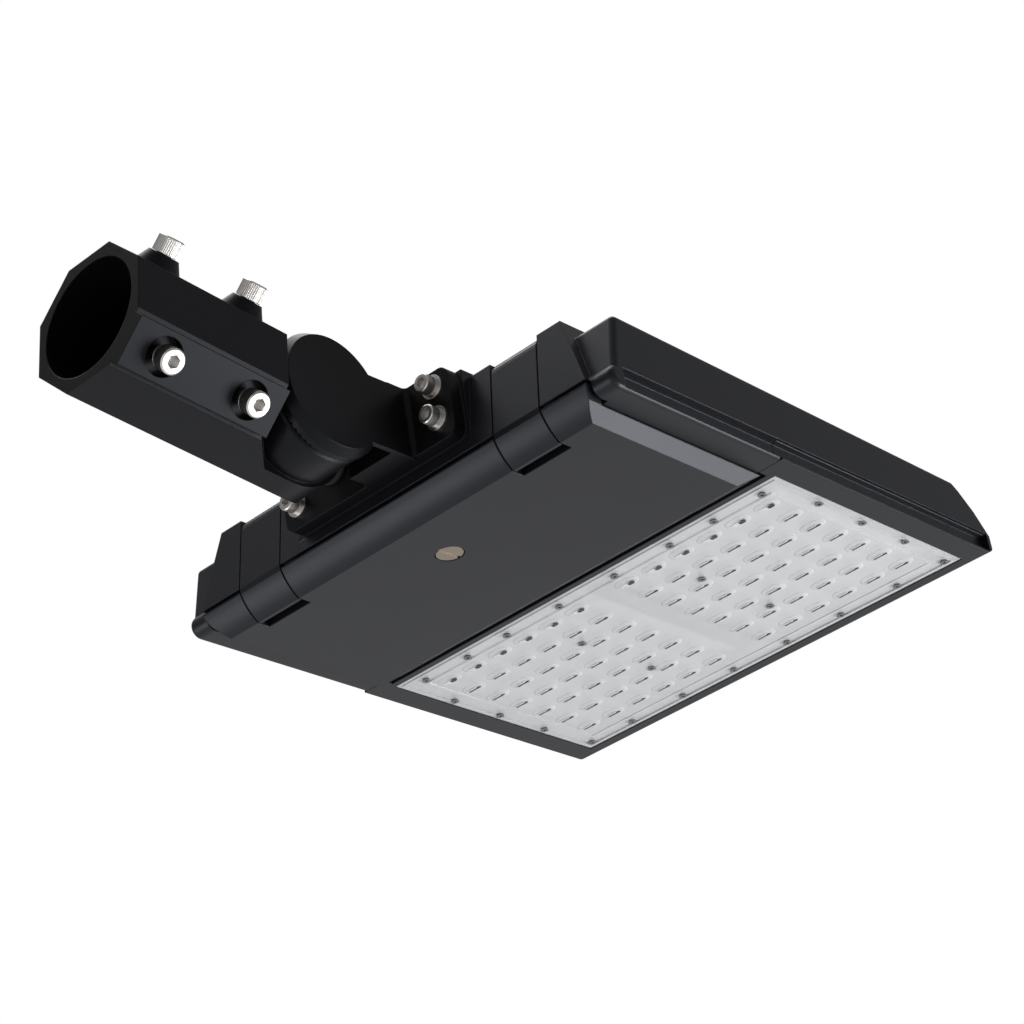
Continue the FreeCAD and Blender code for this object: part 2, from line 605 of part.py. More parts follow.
def buildHeatsink():
    body = newBody("led_heatsink")
    side = [("seamX + 0.4", "ledgeZ"), ("noseLowX", "ledgeZ", ("noseLowX + 5.9", "ledgeZ + 3.2")),
            ("tipX", "partingZ - 2"), ("tipX", "partingZ - 0.3"), ("seamX + 0.4", "partingZ - 0.3")]
    prism(body, "XZ", "-headHalf", "headHalf", [side])
    # front corners, rounded in three steps as seen in plan
    steps = [("1", "0"), ("0.5", "0.134"), ("0.134", "0.5"), ("0", "1")]
    corner = [(f"tipX - cornerRound * {a}", f"headHalf - cornerRound * {b}") for a, b in steps]
    corner += [("tipX + 2", "headHalf - cornerRound"), ("tipX + 2", "headHalf + 2"),
               ("tipX - cornerRound", "headHalf + 2")]
    prism(body, "XY", "-80", "0", [corner, mirroredUp(corner)], cut=True)
    groove = sideGroove("4.5")
    prism(body, "YZ", "seamX", "tipX - 5", [groove, mirrored(groove)], cut=True)
    # space for the door hinge, recess for the lens
    prism(body, "XY", "-80", "0", [rectangle("seamX - 1", "seamX + 6.9", "-136.2", "136.2")], cut=True)
    prism(body, "XY", "ledgeZ - 1", "trayFloorZ", [rectangle("lensRearX - 0.5", "lensFrontX + 0.5", "-lensHalf - 0.5",
                                                            "lensHalf + 0.5")], cut=True)
    # cooling fins in the well between the rails
    fin = [("seamX + 8", "partingZ - 1"), ("noseTopX - 5", "partingZ - 1"), ("noseTopX - 14", "-4"),
           ("seamX + 14", "-4")]
    first = prism(body, "XZ", "-125.2", "-122.8", [fin])
    pattern = body.newObject("PartDesign::LinearPattern", "fins")
    pattern.Originals = [first]
    pattern.Direction = (first.Profile[0], ["N_Axis"])
    pattern.Reversed = True
    pattern.Length = 248
    pattern.Occurrences = 17
    body.Tip = pattern
    doc.recompute()
    prism(body, "XY", "trayFloorZ - 1", "trayFloorZ + 3.6", circles=[(a, b, "1.3") for a, b in lensScrewPlaces()],
          cut=True)
    prism(body, "XY", "trayFloorZ - 1", "trayFloorZ + 2.8", circles=[(a, b, "1.25") for a, b in boardScrewPlaces()],
          cut=True)
    prism(body, "YZ", "seamX + 4", "lensRearX + 1", circles=leadHoles("1.4"), cut=True)


def boardScrewPlaces():
    return [(along, mark + across) for mark in ("", "-") for along in ("lensRearX + 17", "lensFrontX - 21")
            for across in ("13.5", "122.5")]


def lensScrewPlaces():
    rear = ("20.2", "59.5", "89.8", "122.6")
    front = ("19.9", "58.9", "98.7", "131")
    sides = ("34.3", "72.2", "110.6")
    inner = ("45", "104.7")
    rearLine = "lensRearX + 8.5"
    places = []
    for mark in ("", "-"):
        places += [(rearLine, mark + across) for across in rear]
        places += [(f"{rearLine} + 150.5", mark + across) for across in front]
        places += [(f"{rearLine} + {along}", mark + "133.4") for along in sides]
        places += [(f"{rearLine} + {along}", mark + "44") for along in inner]
    return places


def ledPlaces():
    places = []
    for mark in (1, -1):
        for column in range(columnCount):
            for row in range(rowCount):
                across = mark * (value("columnFirst") + column * value("columnPitch"))
                places.append((value("rowFirstX") + row * value("rowPitch"), across))
    return places


def buildLens():
    # plate with a shallow oval optic under every LED
    rear = value("lensRearX")
    long = value("lensFrontX") - rear
    wide = 2 * value("lensHalf")
    low = value("lensLowZ")
    plate = Part.makeBox(long, wide, value("lensThick"), Vector(rear, -wide / 2, low))
    uprights = [e for e in plate.Edges if e.BoundBox.ZLength > 1]
    plate = plate.makeFillet(4.0, uprights)
    domes = []
    rise = 2.6
    radius = 9.0
    for along, across in ledPlaces():
        ball = Part.makeSphere(radius, Vector(along, across, low + radius - rise))
        domes.append(ball.common(Part.makeBox(2 * radius, 2 * radius, rise + 0.5,
                                              Vector(along - radius, across - radius, low - rise))))
    plate = plate.fuse(domes)
    holes = [Part.makeCylinder(1.6, 6, Vector(value(a), value(b), low - 1)) for a, b in lensScrewPlaces()]
    group("lens_plate", [plate.cut(holes).removeSplitter()])


def buildLensParts():
    screw = Part.makeCylinder(1.25, 9.0).fuse(Part.makeCone(2.4, 1.9, 1.2, Vector(0, 0, -1.2)))
    screw = screw.cut(hexPrism(1.6, 1.0).translated(Vector(0, 0, -1.3)))
    low = value("lensLowZ")
    group("lens_screws", [placed(screw, (value(a), value(b), low)) for a, b in lensScrewPlaces()])
    gasket = newBody("lens_gasket")
    top = "lensLowZ + lensThick"
    prism(gasket, "XY", top, "trayFloorZ", [rectangle("lensRearX + 0.5", "lensFrontX - 0.5", "-lensHalf + 0.5",
                                                      "lensHalf - 0.5"),
                                            rectangle("lensRearX + 11", "lensFrontX - 10", "-129", "129")])
    rim = [spot for spot in lensScrewPlaces() if spot[1] not in ("44", "-44")]
    prism(gasket, "XY", f"{top} - 1", "trayFloorZ + 1", circles=[(a, b, "1.4") for a, b in rim], cut=True)
    prism(gasket, "YZ", "lensRearX", "lensRearX + 12", circles=leadHoles("1.4"), cut=True)


def buildBoards():
    for label, inner, outer in (("led_board_left", "9", "127.5"), ("led_board_right", "-127.5", "-9")):
        body = newBody(label)
        prism(body, "XY", "trayFloorZ - 1.6", "trayFloorZ", [rectangle("lensRearX + 12.2", "lensFrontX - 16.5",
                                                                      inner, outer)])
        ahead = value(inner) > 0
        spots = [(a, b, "1.5") for a, b in boardScrewPlaces() if (value(b) > 0) == ahead]
        spots += [(a, b, "2") for a, b in lensScrewPlaces() if b == ("44" if ahead else "-44")]
        prism(body, "XY", "trayFloorZ - 3", "trayFloorZ + 1", circles=spots, cut=True)
    low = value("trayFloorZ") - 1.6
    screw = Part.makeCylinder(2.2, 1.2, Vector(0, 0, -1.2)).fuse(Part.makeCylinder(1.2, 4.0))
    group("board_screws", [placed(screw, (value(a), value(b), low)) for a, b in boardScrewPlaces()])
    chip = Part.makeBox(3.0, 3.0, 0.7, Vector(-1.5, -1.5, -0.7))
    group("led_chips", [placed(chip, (along, across, low)) for along, across in ledPlaces()])


# ---------------------------------------------------------------- door, latches, stud

def doorSideCut():
    return [("doorHalf", "doorZ - 1"), ("doorHalf", "doorZ"), ("doorSide", "doorTopZ"),
            ("boxHalfLow", "sealZ - sealGap"), ("boxHalfLow + 5", "sealZ - sealGap"), ("boxHalfLow + 5", "doorZ - 1")]


def buildDoor():
    body = newBody("driver_door")
    rim = "(sealZ - sealGap)"
    prism(body, "XZ", "-boxHalfLow", "boxHalfLow", [[
        ("rearX + 0.1", rim), ("rearX + 0.3", f"{rim} - 0.8", ("rearX + 3.8", "doorZ + 7.4")),
        ("doorRearX", "doorZ"), ("doorFrontX", "doorZ"), ("hingeX - 0.3", "doorTopZ"),
        ("doorRearX + 2", "doorTopZ"), ("doorRearX + 2", rim)]])
    cutter = doorSideCut()
    prism(body, "YZ", "rearX - 5", "hingeX + 5", [cutter, mirrored(cutter)], cut=True)
    # pan inside, with a rim for the gasket left standing
    prism(body, "XY", "doorZ + 2.5", "doorTopZ + 1", [rectangle("doorRearX + 12", "doorFrontX - 4", "-122", "122")],
          cut=True)
    prism(body, "XZ", "-122", "122", [[("rearX + 3.4", "sealZ"), ("rearX + 3.4", "sealZ - 4"),
                                       ("doorRearX - 1", "doorZ + 4"), ("doorRearX - 0.5", "sealZ")]], cut=True)
    # open notches for the latches, finger slots ahead of them
    low = "latchMid - latchWide / 2 - latchGap"
    high = "latchMid + latchWide / 2 + latchGap"
    notch = rectangle("rearX - 5", "doorRearX + 2.6", low, high)
    prism(body, "XY", "doorZ - 1", "sealZ + 2", [notch, mirroredUp(notch)], cut=True)
    slot = rectangle("doorRearX + 2", "doorRearX + 8.4", low, high)
    prism(body, "XY", "doorZ - 1", "doorZ + 5", [slot, mirroredUp(slot)], cut=True)
    # boss, recess and hole of the slotted stud
    prism(body, "XY", "doorZ + 1", "doorTopZ", circles=[("studX", "0", "12")])
    prism(body, "XY", "doorZ - 1", "doorZ + 2", circles=[("studX", "0", "7.8")], cut=True)
    prism(body, "XY", "doorZ", "doorTopZ + 1", circles=[("studX", "0", "3.1")], cut=True)
    # gasket groove round the rim
    prism(body, "XY", "doorTopZ - 2", "doorTopZ + 1", [
        rectangle("doorRearX + 5.6", "doorFrontX + 4", "-129", "129"),
        rectangle("doorRearX + 9.4", "doorFrontX + 0.2", "-125.2", "125.2")], cut=True)
    # the door's own barrels, between the lugs
    barrel = [("hingeX - 3.6", "doorTopZ - 1"), ("hingeX", "hingeZ - hingeRound", ("hingeX + hingeRound", "hingeZ")),
              ("hingeX", "hingeZ + hingeRound", ("hingeX - hingeRound * 0.707107", "hingeZ + hingeRound * 0.707107")),
              ("hingeX - hingeRound", "hingeZ"), ("hingeX - hingeRound", "doorTopZ"), ("hingeX - 3.6", "doorTopZ")]
    bothSides(body, "XZ", "99.5", "120.5", False, [barrel])
    bothSides(body, "XZ", "99", "121", True, circles=[("hingeX", "hingeZ", "hingePin + 0.05")])


def buildDoorParts():
    gasket = newBody("door_gasket")
    prism(gasket, "XY", "doorTopZ - 2", "doorTopZ + 0.15", [
        rectangle("doorRearX + 5.8", "doorFrontX + 3.8", "-128.8", "128.8"),
        rectangle("doorRearX + 9.2", "doorFrontX + 0.4", "-125.4", "125.4")])
    # slotted stud with its keeper ring
    head = Part.makeCylinder(7.2, 1.5, Vector(0, 0, 0.2)).fuse(Part.makeCylinder(3.0, 18.0, Vector(0, 0, 1.5)))
    head = head.cut(Part.makeBox(15.0, 1.8, 0.9, Vector(-7.5, -0.9, 0)))
    group("door_stud", [placed(head, (value("studX"), 0, value("doorZ")))])
    ring = cylinder("6", "1.2", ("studX", "0", "doorTopZ + 0.35"))
    named("stud_keeper", ring, [cylinder("3.02", "3", ("studX", "0", "doorTopZ - 1"))])
    pins = [cylinder("hingePin", "34", ("hingeX", at, "hingeZ"), alongY) for at in ("93", "-127")]
    both = doc.addObject("Part::Compound", "hinge_pin_pair")
    both.Links = pins
    named("hinge_pins", both)
    low = "latchMid - latchWide / 2 - 5.5"
    latchPins = [cylinder("1.5", "latchWide + 11", ("latchX", at, "latchZ"), alongY)
                 for at in (low, "-(latchMid + latchWide / 2 + 5.5)")]
    pair = doc.addObject("Part::Compound", "latch_pin_pair")
    pair.Links = latchPins
    named("latch_pins", pair)


def buildLatch(label, low, high):
    # strip from the barrel down the rear face and round under the door's edge
    body = newBody(label)
    lean = "(roofRearX - rearX) / (roofZ - sealZ)"
    outerTop = f"rearX + ({lean}) * (latchZ - sealZ)"
    outline = [
        (outerTop, "latchZ"), ("rearX", "sealZ"), ("rearX + 0.3", "sealZ - 3", ("rearX + 3.8", "doorZ + 7.4")),
        ("doorRearX", "doorZ"), ("doorRearX + 2", "doorZ"), ("doorRearX + 2", "doorZ + 3.4"),
        ("doorRearX + 0.4", "doorZ + 3.6", ("rearX + 6.7", "doorZ + 8.9")), ("rearX + 3.2", "sealZ - 2.8"),
        ("rearX + 3.2", "sealZ"), (f"{outerTop} + 3.1", "latchZ")]
    prism(body, "XZ", low, high, [outline])
    prism(body, "XZ", low, high, circles=[("latchX", "latchZ", "3.7")])
    prism(body, "XZ", low, high, circles=[("latchX", "latchZ", "1.56")], cut=True)


# ---------------------------------------------------------------- electrical parts

def buildDriver():
    body = newBody("led_driver")
    prism(body, "XY", "-24", "roofZ - 5", [rectangle("118", "176", "-100", "70")])
    ears = [rectangle("130", "164", "68", "84"), rectangle("130", "164", "-114", "-98")]
    prism(body, "XY", "roofZ - 7", "roofZ - 5", ears)
    spots = [("147", "77"), ("147", "-107")]
    prism(body, "XY", "roofZ - 8", "roofZ - 4", circles=[(a, b, "2.2") for a, b in spots], cut=True)
    plate = newBody("driver_plate")
    prism(plate, "XY", "roofZ - 5", "roofZ - wall", [rectangle("116", "177.5", "-118", "90")])
    prism(plate, "XY", "roofZ - 6", "roofZ - wall - 1", circles=[(a, b, "2.05") for a, b in spots], cut=True)
    screw = Part.makeCylinder(4.0, 2.4, Vector(0, 0, -2.4)).fuse(Part.makeCylinder(2.0, 2.5))
    group("driver_screws", [placed(screw, (value(a), value(b), value("roofZ") - 7)) for a, b in spots])


def buildSmallParts():
    protector = newBody("surge_protector")
    prism(protector, "XY", "-14", "roofZ - wall", [rectangle("82", "108", "40", "100")])
    roundEdges(protector, "3", lambda edge, mid: abs(edge.BoundBox.ZLength - value("roofZ - wall + 14")) < 0.1)
    terminal = newBody("terminal_block")
    prism(terminal, "XY", "-7", "roofZ - wall", [rectangle("82", "98", "-76", "-30")])
    ports = [("-68", "0", "3"), ("-53", "0", "3"), ("-38", "0", "3")]
    prism(terminal, "YZ", "80", "92", circles=ports, cut=True)


def buildLeads():
    # four leads from the underside of the driver forward to the boards
    bend = 5.0
    radius = 1.0
    startX = 168.0
    startZ = -24.0
    endX = value("lensRearX") + 12.2
    level = value(leadZ)
    solids = []
    for across in leadRows:
        y = float(across)
        top = Vector(startX, y, startZ)
        turnIn = Vector(startX, y, level + bend)
        turnOut = Vector(startX + bend, y, level)
        middle = Vector(startX + bend * (1 - math.sqrt(0.5)), y, level + bend * (1 - math.sqrt(0.5)))
        end = Vector(endX, y, level)
        path = Part.Wire([Part.LineSegment(top, turnIn).toShape(), Part.Arc(turnIn, middle, turnOut).toShape(),
                          Part.LineSegment(turnOut, end).toShape()])
        ring = Part.Wire([Part.Circle(top, Vector(0, 0, -1), radius).toShape()])
        solids.append(path.makePipeShell([ring], True, False))
    group("led_leads", solids)


# ---------------------------------------------------------------- whole light

buildSlipFitter()
buildTenonScrews()
buildPivotBolt()
armNodes = set(nodes)
buildKnuckleBracket()
buildFlangeParts()
buildHousing()
buildHeatsink()
buildLens()
buildLensParts()
buildBoards()
buildDoor()
buildDoorParts()
buildLatch("latch_left", "latchMid - latchWide / 2", "latchMid + latchWide / 2")
buildLatch("latch_right", "-(latchMid + latchWide / 2)", "-(latchMid - latchWide / 2)")
buildDriver()
buildSmallParts()
buildLeads()
doc.recompute()

headPlace = Placement(Vector(value("pivotReach"), 0, 0), Rotation(Vector(0, 1, 0), -value("tilt")))
for label, node in nodes.items():
    if label not in armNodes:
        node.Placement = headPlace
doc.recompute()

for thing in doc.Objects:
    if "Invalid" in thing.State or "Error" in thing.State:
        raise RuntimeError(f"{thing.Label} failed: {thing.State}")

os.makedirs("parts", exist_ok=True)
for label, node in nodes.items():
    shape = node.Shape
    if shape.isNull() or not shape.isValid():
        raise RuntimeError(f"{label} has no valid shape")
    shape.exportStep(os.path.join("parts", label + ".step"))
    print(f"{label:24s} solids {len(shape.Solids):3d}  volume {shape.Volume / 1000:9.2f} cm3")
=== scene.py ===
import math

import bpy
from mathutils import Matrix, Vector


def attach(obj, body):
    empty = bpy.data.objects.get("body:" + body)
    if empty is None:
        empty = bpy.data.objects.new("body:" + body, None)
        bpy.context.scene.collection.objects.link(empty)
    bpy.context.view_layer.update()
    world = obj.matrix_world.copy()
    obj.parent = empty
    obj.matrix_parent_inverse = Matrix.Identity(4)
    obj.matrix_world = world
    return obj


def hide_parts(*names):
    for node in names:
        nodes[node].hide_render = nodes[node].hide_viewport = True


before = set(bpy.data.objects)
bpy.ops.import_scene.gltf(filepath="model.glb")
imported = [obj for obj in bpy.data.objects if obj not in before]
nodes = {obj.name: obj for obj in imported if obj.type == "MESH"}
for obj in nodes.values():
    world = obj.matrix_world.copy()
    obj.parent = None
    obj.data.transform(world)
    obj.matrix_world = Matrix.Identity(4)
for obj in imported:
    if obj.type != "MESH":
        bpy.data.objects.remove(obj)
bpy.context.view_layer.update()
bpy.ops.object.select_all(action="DESELECT")
mm = 0.001

# the head's own frame: origin on the knuckle's pivot, turned up by one tooth
head = {"pivot": 127.5 * mm, "tilt": 6.0}
headPlace = Matrix.Translation((head["pivot"], 0, 0)) @ Matrix.Rotation(math.radians(-head["tilt"]), 4, "Y")


class Value:
    # a socket that can be added and multiplied
    def __init__(self, finish, socket):
        self.finish = finish
        self.socket = socket

    def maths(self, kind, first, second):
        made = self.finish.node("ShaderNodeMath", {"operation": kind}, {0: first, 1: second})
        return Value(self.finish, made.outputs[0])

    def __add__(self, other):
        return self.maths("ADD", self, other)

    def __radd__(self, other):
        return self.maths("ADD", other, self)

    def __mul__(self, other):
        return self.maths("MULTIPLY", self, other)

    def __rmul__(self, other):
        return self.maths("MULTIPLY", other, self)


class Finish:
    # one material and its nodes
    def __init__(self, name):
        self.material = bpy.data.materials.new(name)
        self.material.use_nodes = True
        self.tree = self.material.node_tree
        self.tree.nodes.clear()
        self.output = self.tree.nodes.new("ShaderNodeOutputMaterial")

    def node(self, kind, settings=None, sockets=None):
        made = self.tree.nodes.new(kind)
        for key, setting in (settings or {}).items():
            setattr(made, key, setting)
        for key, given in (sockets or {}).items():
            if isinstance(given, Value):
                given = given.socket
            if isinstance(given, bpy.types.NodeSocket):
                self.tree.links.new(given, made.inputs[key])
            else:
                made.inputs[key].default_value = given
        return made

    def value(self, kind, settings=None, sockets=None, out=0):
        return Value(self, self.node(kind, settings, sockets).outputs[out])

    def place(self):
        return self.node("ShaderNodeTexCoord").outputs["Object"]

    def noise(self, scale, detail=2.0, rough=0.5, stretch=None):
        where = self.place()
        if stretch:
            where = self.node("ShaderNodeMapping", None, {"Vector": where, "Scale": stretch}).outputs[0]
        return self.value("ShaderNodeTexNoise", None, {"Vector": where, "Scale": scale, "Detail": detail,
                                                       "Roughness": rough})

    def blend(self, factor, first, second):
        made = self.node("ShaderNodeMix", {"data_type": "RGBA"}, {"Factor": factor})
        made.inputs[6].default_value = (*first, 1)
        made.inputs[7].default_value = (*second, 1)
        return made.outputs[2]

    def relief(self, height, strength, distance, soften=0.0):
        sockets = {"Height": height, "Strength": strength, "Distance": distance}
        if soften:
            sockets["Normal"] = self.node("ShaderNodeBevel", {"samples": 6}, {"Radius": soften}).outputs[0]
        return self.node("ShaderNodeBump", None, sockets).outputs[0]

    def surface(self, **sockets):
        names = {key.replace("_", " "): given for key, given in sockets.items()}
        shader = self.node("ShaderNodeBsdfPrincipled", None, names)
        self.tree.links.new(shader.outputs[0], self.output.inputs["Surface"])
        return self.material


def powderCoat(name, dark, light, shine, grain=1500.0, soften=0.7 * mm):
    # matte coat: fine orange peel, a slow drift of tone and softened casting edges
    made = Finish(name)
    peel = made.noise(grain, 3.0, 0.6)
    drift = made.noise(14.0, 3.0)
    fleck = made.noise(grain * 2.2, 1.0)
    tone = drift * 0.65 + fleck * 0.35
    return made.surface(Base_Color=made.blend(tone, dark, light),
                        Roughness=peel * 0.12 + drift * 0.08 + 0.26,
                        Normal=made.relief(peel, 0.32, 0.12 * mm, soften),
                        Specular_IOR_Level=shine, Specular_Tint=(0.86, 0.89, 1.0, 1.0))


def metal(name, dark, light, rough, stretch, grain=700.0, soften=0.25 * mm):
    # turned or rolled metal with fine marks along one direction
    made = Finish(name)
    marks = made.noise(grain, 4.0, 0.65, stretch)
    stain = made.noise(60.0, 3.0)
    return made.surface(Base_Color=made.blend(marks * 0.6 + stain * 0.4, dark, light),
                        Roughness=marks * 0.2 + rough, Metallic=1.0,
                        Normal=made.relief(marks, 0.25, 0.05 * mm, soften))


def moulded(name, dark, light, rough, grain=900.0, strength=0.2, soften=0.3 * mm):
    # rubber, plastic and insulation
    made = Finish(name)
    skin = made.noise(grain, 3.0)
    drift = made.noise(35.0, 2.0)
    return made.surface(Base_Color=made.blend(drift * 0.7 + skin * 0.3, dark, light),
                        Roughness=skin * 0.15 + rough,
                        Normal=made.relief(skin, strength, 0.08 * mm, soften))


def boardFinish(name):
    # white solder mask with copper runs showing as faint raised bands
    made = Finish(name)
    run = made.value("ShaderNodeTexBrick", {"offset": 0.5}, {
        "Vector": made.place(), "Scale": 1.0, "Mortar Size": 0.0007, "Mortar Smooth": 0.3, "Brick Width": 19.5 * mm,
        "Row Height": 19.75 * mm}, 1)
    cloud = made.noise(220.0, 2.0)
    return made.surface(Base_Color=made.blend(run * 0.7 + cloud * 0.3, (0.80, 0.81, 0.81), (0.62, 0.64, 0.65)),
                        Roughness=cloud * 0.15 + 0.35, Normal=made.relief(run, 0.35, 0.06 * mm))


def clearLens(name, shade, cover, rough):
    # clear moulded plastic: mostly see-through, whiter towards grazing sight
    made = Finish(name)
    edge = made.value("ShaderNodeLayerWeight", None, {"Blend": 0.35}, 1)
    flow = made.noise(90.0, 3.0)
    return made.surface(Base_Color=made.blend(flow, shade, (0.93, 0.94, 0.95)), Roughness=flow * 0.05 + rough,
                        Alpha=edge * (0.85 - cover) + cover, IOR=1.49, Specular_IOR_Level=0.6,
                        Normal=made.relief(flow, 0.25, 0.2 * mm))


coat = powderCoat("powderCoat", (0.0062, 0.0064, 0.0080), (0.0125, 0.0130, 0.0158), 0.32)
coatArm = powderCoat("powderCoatArm", (0.0028, 0.0029, 0.0034), (0.0062, 0.0064, 0.0074), 0.16)
stainless = metal("stainlessTurned", (0.46, 0.44, 0.42), (0.72, 0.70, 0.68), 0.22, (0.25, 1, 1))
darkSteel = metal("lensScrewSteel", (0.16, 0.15, 0.15), (0.34, 0.33, 0.32), 0.3, (1, 1, 0.3))
tanPlate = metal("studPlating", (0.27, 0.22, 0.175), (0.44, 0.37, 0.31), 0.42, (0.2, 1, 1), 500.0)
rubber = moulded("blackRubber", (0.010, 0.010, 0.011), (0.022, 0.022, 0.024), 0.55)
silicone = clearLens("clearSilicone", (0.78, 0.79, 0.80), 0.22, 0.25)
board = boardFinish("ledBoardMask")
chip = moulded("ledPhosphor", (0.62, 0.58, 0.40), (0.78, 0.74, 0.55), 0.35, 2500.0)
caseMetal = metal("driverCase", (0.40, 0.41, 0.43), (0.60, 0.61, 0.63), 0.34, (1, 0.06, 1))
sheetMetal = metal("mountingSheet", (0.52, 0.53, 0.54), (0.74, 0.75, 0.76), 0.3, (0.05, 1, 1))
potting = moulded("pottedBlack", (0.012, 0.012, 0.013), (0.03, 0.03, 0.032), 0.42)
terminalWhite = moulded("terminalNylon", (0.62, 0.61, 0.57), (0.76, 0.75, 0.71), 0.4)
jacket = moulded("leadJacket", (0.016, 0.016, 0.018), (0.035, 0.035, 0.038), 0.4)

finishes = {
    "slip_fitter": coatArm, "knuckle_bracket": coatArm, "driver_housing": coat, "led_heatsink": coat,
    "driver_door": coat, "latch_left": coat, "latch_right": coat, "tenon_screws": stainless,
    "pivot_bolt": stainless, "pivot_washer": stainless, "flange_screws": stainless, "flange_washers": stainless,
    "flange_spring_washers": stainless, "flange_gasket": rubber, "cable_grommet": rubber, "lens_screws": darkSteel,
    "lens_gasket": silicone, "led_board_left": board, "led_board_right": board, "board_screws": darkSteel,
    "led_chips": chip, "hinge_pins": stainless, "latch_pins": stainless, "led_driver": caseMetal,
    "driver_plate": sheetMetal, "driver_screws": stainless, "surge_protector": potting,
    "terminal_block": terminalWhite, "led_leads": jacket, "door_gasket": rubber, "door_stud": tanPlate,
    "stud_keeper": stainless}
for label, finish in finishes.items():
    mesh = nodes[label].data
    mesh.materials.clear()
    mesh.materials.append(finish)
print("finishes on", len(finishes), "nodes")


lens = {
    "rear": 203.0 * mm, "front": 368.5 * mm, "half": 138.0 * mm, "low": -36.3 * mm, "thick": 2.5 * mm,
    "rim": 2.2 * mm, "rib": 1.3 * mm, "ribHigh": 0.8 * mm, "track": 7.5 * mm,
    "rows": 7, "columns": 6, "firstRow": 223.7 * mm, "rowPitch": 19.75 * mm,
    "firstColumn": 18.3 * mm, "columnPitch": 19.5 * mm,
    "opticLong": 8.0 * mm, "opticWide": 6.0 * mm, "opticHigh": 1.3 * mm}

# bars of painted shade and painted highlight under each optic, standing in for its dark refraction lines and ridge
# glint: long, wide, shift along the head, shift across it
paintedMarkHigh = 0.7 * mm
paintedMarkDrop = -1.2 * mm
paintedOpticMarks = {
    "paintedShadeBar": (9.0 * mm, 1.3 * mm, 0.7 * mm, 0.0),
    "paintedShadeDot": (4.2 * mm, 2.4 * mm, 0.4 * mm, -2.5 * mm),
    "paintedHighlightBar": (7.2 * mm, 0.9 * mm, -0.6 * mm, 1.2 * mm)}


def edit(piece):
    bpy.ops.object.select_all(action="DESELECT")
    bpy.context.view_layer.objects.active = piece
    piece.select_set(True)
    bpy.ops.object.mode_set(mode="EDIT")


def pick(piece, test):
    # select the faces whose middle and normal pass the test
    bpy.ops.object.mode_set(mode="OBJECT")
    for part in (piece.data.vertices, piece.data.edges, piece.data.polygons):
        part.foreach_set("select", [False] * len(part))
    for face in piece.data.polygons:
        face.select = test(face.center, face.normal)
    bpy.ops.object.mode_set(mode="EDIT")
    bpy.ops.mesh.select_mode(type="FACE")


def done(piece, label, finish, body, angle=40.0):
    if bpy.context.mode != "OBJECT":
        bpy.ops.object.mode_set(mode="OBJECT")
    bpy.ops.object.select_all(action="DESELECT")
    bpy.context.view_layer.objects.active = piece
    piece.select_set(True)
    bpy.ops.object.transform_apply(location=True, rotation=True, scale=True)
    bpy.ops.object.shade_smooth_by_angle(angle=math.radians(angle))
    piece.name = label
    if not piece.data.materials:
        piece.data.materials.append(finish)
    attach(piece, body)
    return piece


def joined(pieces):
    bpy.ops.object.select_all(action="DESELECT")
    for piece in pieces:
        piece.select_set(True)
    bpy.context.view_layer.objects.active = pieces[0]
    bpy.ops.object.join()
    return bpy.context.view_layer.objects.active


def copies(pattern, places):
    # one copy with its own mesh at each place, the pattern itself removed
    made = []
    for place in places:
        mesh = pattern.data.copy()
        mesh.transform(place if isinstance(place, Matrix) else Matrix.Translation(place))
        piece = bpy.data.objects.new(pattern.name, mesh)
        bpy.context.collection.objects.link(piece)
        made.append(piece)
    bpy.data.objects.remove(pattern)
    return made


ledPlaces = []
for side in (1, -1):
    for column in range(lens["columns"]):
        for row in range(lens["rows"]):
            ledPlaces.append(Vector((lens["firstRow"] + row * lens["rowPitch"],
                                     side * (lens["firstColumn"] + column * lens["columnPitch"]), lens["low"])))


def lensPlate():
    # plate with a ribbed rim: each inset and move makes one step of the moulding
    middle = Vector(((lens["rear"] + lens["front"]) / 2, 0, lens["low"] + lens["thick"] / 2))
    bpy.ops.mesh.primitive_cube_add(size=1, location=middle)
    plate = bpy.context.object
    plate.scale = (lens["front"] - lens["rear"], 2 * lens["half"], lens["thick"])
    bpy.ops.object.transform_apply(location=True, scale=True)
    edit(plate)
    pick(plate, lambda centre, normal: normal.z < -0.9)
    for thick, rise in ((lens["rim"], 0), (0.3 * mm, lens["ribHigh"]), (lens["rib"], 0),
                        (0.3 * mm, -lens["ribHigh"]), (lens["track"], 0), (0.4 * mm, lens["ribHigh"]),
                        (lens["rib"], 0), (0.4 * mm, -lens["ribHigh"] * 0.6)):
        bpy.ops.mesh.inset(thickness=thick, depth=0)
        if rise:
            bpy.ops.transform.translate(value=(0, 0, -rise))
    return plate


def opticShape():
    # oval dome pinched in the middle, flat side up
    bpy.ops.mesh.primitive_uv_sphere_add(segments=24, ring_count=12, radius=1)
    dome = bpy.context.object
    dome.scale = (lens["opticWide"], lens["opticLong"], lens["opticHigh"])
    bpy.ops.object.transform_apply(scale=True)
    edit(dome)
    bpy.ops.mesh.select_all(action="SELECT")
    bpy.ops.mesh.bisect(plane_co=(0, 0, 0.3 * mm), plane_no=(0, 0, 1), clear_outer=True)
    bpy.ops.object.mode_set(mode="OBJECT")
    for point in dome.data.vertices:
        waist = math.exp(-(point.co.y / (2.6 * mm)) ** 2)
        point.co.x *= 1 - 0.16 * waist
        point.co.z *= 1 - 0.22 * waist
    return dome


